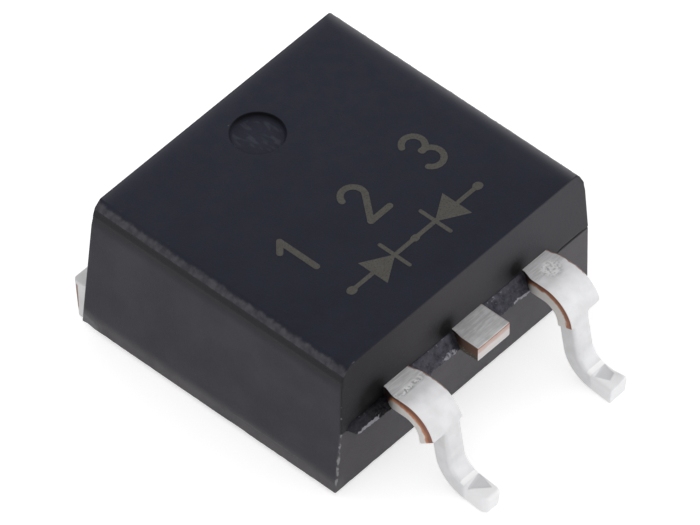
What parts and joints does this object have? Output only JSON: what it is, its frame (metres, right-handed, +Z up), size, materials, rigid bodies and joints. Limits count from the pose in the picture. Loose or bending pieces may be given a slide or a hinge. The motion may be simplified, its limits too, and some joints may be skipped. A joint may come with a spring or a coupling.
{
  "type": "schottky diode",
  "caption": "Surface-mount schottky rectifier: drafted black epoxy body, gull-wing anode leads, cut-off middle lead and a flat heat tab that is the common cathode.",
  "frame": {"origin": "middle of the whole outline seen from above, on the tab's solder face, where the part sits on a board", "axes": "+Y from the leads towards the tab, +Z up out of the board, +X to the right seen from above with the tab away from the viewer"},
  "size_m": [0.01, 0.0128, 0.0047],
  "materials": {
    "epoxy": "fine matt moulding compound, smoother and darker on the band below the side rims",
    "tinned_copper": "matt tin plating over copper, bare copper on the sheared edges",
    "silicon": "metallised silicon, hidden in the body",
    "solder": "dull die solder, hidden in the body",
    "bond_aluminium": "soft drawn wire, hidden in the body"
  },
  "bodies": {
    "root": {"mould_body": "epoxy", "heat_spreader": "tinned_copper", "anode_lead_right": "tinned_copper", "anode_lead_left": "tinned_copper", "die_right": "silicon", "die_left": "silicon", "die_solder_right": "solder", "die_solder_left": "solder", "bond_wire_right_outer": "bond_aluminium", "bond_wire_right_inner": "bond_aluminium", "bond_wire_left_outer": "bond_aluminium", "bond_wire_left_inner": "bond_aluminium"}
  },
  "joints": []
}
